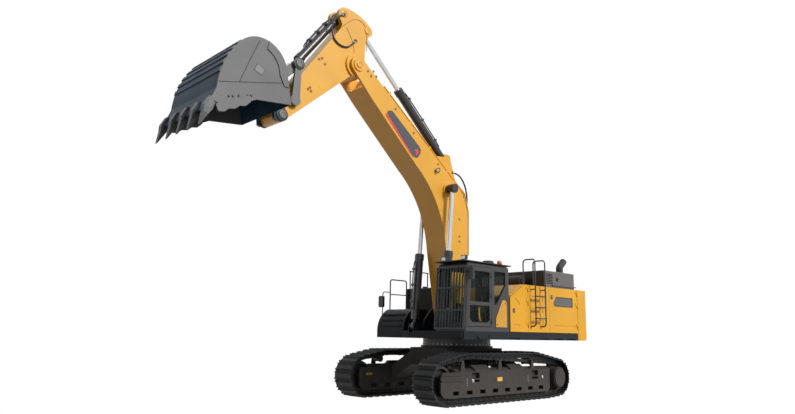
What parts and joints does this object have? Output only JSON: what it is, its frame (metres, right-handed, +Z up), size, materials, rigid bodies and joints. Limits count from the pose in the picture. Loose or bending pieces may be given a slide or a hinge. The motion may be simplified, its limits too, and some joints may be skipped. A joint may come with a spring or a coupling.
{
  "type": "crawler excavator",
  "caption": "Large yellow crawler excavator with hydraulic boom, arm and bucket raised, guarded cab, side ladder and engine hood, on steel tracks.",
  "frame": {"origin": "centre of the underside of the whole machine's box, on the ground", "axes": "+X forward along the tracks, +Y to the operator's left, +Z up"},
  "size_m": [12.7353, 4.115, 9.9104],
  "materials": {
    "black_trim": "matte black",
    "bucket_grey": "satin grey paint",
    "cab_grey": "satin dark grey paint",
    "cast_teeth": "rough cast",
    "chrome_rod": "polished",
    "clear_glass": "clear",
    "cylinder_black": "satin black paint",
    "frame_grey": "satin dark grey paint",
    "hood_grey": "satin mid grey paint",
    "seat_fabric": "dark woven cover",
    "track_steel": "worn dark steel",
    "yellow_paint": "gloss warm yellow paint"
  },
  "bodies": {
    "undercarriage": {"track_left": "track_steel", "track_right": "track_steel", "idlers": "frame_grey", "sprockets": "frame_grey", "final_drives": "frame_grey", "track_rollers": "frame_grey", "track_frame_left": "frame_grey", "track_frame_right": "frame_grey", "centre_frame": "frame_grey", "slew_ring_lower": "frame_grey"},
    "boom": {"boom": "yellow_paint", "boom_pipes": "yellow_paint"},
    "arm": {"arm": "yellow_paint"},
    "bucket": {"bucket": "bucket_grey", "tooth_adapters": "cast_teeth", "bucket_teeth": "cast_teeth"},
    "rocker": {"rocker": "yellow_paint"},
    "bucket_link": {"bucket_link": "yellow_paint"},
    "boom_cylinder_barrels": {"boom_cylinder_barrels": "cylinder_black"},
    "boom_cylinder_rods": {"boom_cylinder_rods": "chrome_rod"},
    "arm_cylinder_barrel": {"arm_cylinder_barrel": "cylinder_black"},
    "arm_cylinder_rod": {"arm_cylinder_rod": "chrome_rod"},
    "bucket_cylinder_barrel": {"bucket_cylinder_barrel": "cylinder_black"},
    "bucket_cylinder_rod": {"bucket_cylinder_rod": "chrome_rod"},
    "cab_door": {"cab_door": "cab_grey", "door_glass": "clear_glass"},
    "left_front_door": {"left_front_door": "yellow_paint"},
    "left_rear_door": {"left_rear_door": "yellow_paint"},
    "right_rear_door": {"right_rear_door": "yellow_paint"},
    "engine_hood": {"engine_hood": "hood_grey", "exhaust_stack": "black_trim"},
    "upper": {"air_cleaner": "black_trim", "body_housing": "yellow_paint", "cab_glass": "clear_glass", "cab_guard": "black_trim", "cab_shell": "cab_grey", "counterweight": "yellow_paint", "engine_block": "hood_grey", "fuel_tank": "yellow_paint", "ladder": "black_trim", "mirrors": "black_trim", "operator_seat": "seat_fabric", "right_handrail": "black_trim", "roof_fittings": "cab_grey", "roof_plate": "cab_grey", "side_panels": "yellow_paint", "slew_ring_upper": "frame_grey", "stair_plate": "cab_grey", "tool_box": "cab_grey", "upper_frame": "yellow_paint"}
  },
  "joints": [
    {"name": "swing", "type": "hinge", "parent": "undercarriage", "child": "upper", "pos_m": [-2.34776, -0.0725, 1.59], "axis": [0, 0, 1], "continuous": true},
    {"name": "boom_lift", "type": "hinge", "parent": "upper", "child": "boom", "pos_m": [-1.96776, -0.0725, 2.38], "axis": [0, -1, 0], "range_deg": [-75, 6]},
    {"name": "boom_cylinder_tilt", "type": "hinge", "parent": "upper", "child": "boom_cylinder_barrels", "pos_m": [-1.19776, -0.0725, 1.9], "axis": [0, -1, 0], "range_deg": [-76, 8]},
    {"name": "boom_cylinder_stroke", "type": "slide", "parent": "boom_cylinder_barrels", "child": "boom_cylinder_rods", "axis": [-0.0858, 0, 0.9963], "range_m": [-1.15, 0.12]},
    {"name": "arm_swing", "type": "hinge", "parent": "boom", "child": "arm", "pos_m": [1.87224, -0.0725, 8.43], "axis": [0, 1, 0], "range_deg": [-62, 40]},
    {"name": "arm_cylinder_tilt", "type": "hinge", "parent": "boom", "child": "arm_cylinder_barrel", "pos_m": [-1.70776, -0.0725, 6.7], "axis": [0, 1, 0], "range_deg": [-6, 5]},
    {"name": "arm_cylinder_stroke", "type": "slide", "parent": "arm_cylinder_barrel", "child": "arm_cylinder_rod", "axis": [0.7501, 0, 0.6613], "range_m": [-1.2, 0.75]},
    {"name": "bucket_curl", "type": "hinge", "parent": "arm", "child": "bucket", "pos_m": [4.10224, -0.0725, 6.52], "axis": [0, -1, 0], "range_deg": [-155, 5]},
    {"name": "rocker_turn", "type": "hinge", "parent": "arm", "child": "rocker", "pos_m": [3.73224, -0.0725, 6.98], "axis": [0, -1, 0], "range_deg": [-120, 6]},
    {"name": "link_turn", "type": "hinge", "parent": "bucket", "child": "bucket_link", "pos_m": [4.31724, -0.0725, 7.235], "axis": [0, -1, 0], "range_deg": [-5, 92]},
    {"name": "bucket_cylinder_tilt", "type": "hinge", "parent": "arm", "child": "bucket_cylinder_barrel", "pos_m": [2.29224, -0.0725, 9.73], "axis": [0, -1, 0], "range_deg": [-2, 8]},
    {"name": "bucket_cylinder_stroke", "type": "slide", "parent": "bucket_cylinder_barrel", "child": "bucket_cylinder_rod", "axis": [0.6055, 0, -0.7958], "range_m": [-0.08, 1.62]},
    {"name": "cab_door_hinge", "type": "hinge", "parent": "upper", "child": "cab_door", "pos_m": [-1.44876, 1.8925, 2.6], "axis": [0, 0, 1], "range_deg": [0, 160]},
    {"name": "left_front_door_hinge", "type": "hinge", "parent": "upper", "child": "left_front_door", "pos_m": [-3.05776, 1.8925, 2.4], "axis": [0, 0, 1], "range_deg": [0, 90]},
    {"name": "left_rear_door_hinge", "type": "hinge", "parent": "upper", "child": "left_rear_door", "pos_m": [-5.57376, 1.8925, 2.4], "axis": [0, 0, 1], "range_deg": [0, 100]},
    {"name": "right_rear_door_hinge", "type": "hinge", "parent": "upper", "child": "right_rear_door", "pos_m": [-5.57376, -2.0375, 2.4], "axis": [0, 0, -1], "range_deg": [0, 100]},
    {"name": "hood_hinge", "type": "hinge", "parent": "upper", "child": "engine_hood", "pos_m": [-4.74776, -1.5875, 3.095], "axis": [1, 0, 0], "range_deg": [0, 60]}
  ],
  "couplings": [
    {"joint": "boom_cylinder_tilt", "follows": "boom_lift", "ratio": 0.99},
    {"joint": "boom_cylinder_stroke", "follows": "boom_lift", "m_per_rad": 0.8394},
    {"joint": "arm_cylinder_tilt", "follows": "arm_swing", "ratio": 0.0546},
    {"joint": "arm_cylinder_stroke", "follows": "arm_swing", "m_per_rad": 1.0084},
    {"joint": "rocker_turn", "follows": "bucket_curl", "ratio": 0.75},
    {"joint": "link_turn", "follows": "bucket_curl", "ratio": -0.5687},
    {"joint": "bucket_cylinder_tilt", "follows": "bucket_curl", "ratio": -0.004},
    {"joint": "bucket_cylinder_stroke", "follows": "bucket_curl", "m_per_rad": -0.573}
  ]
}
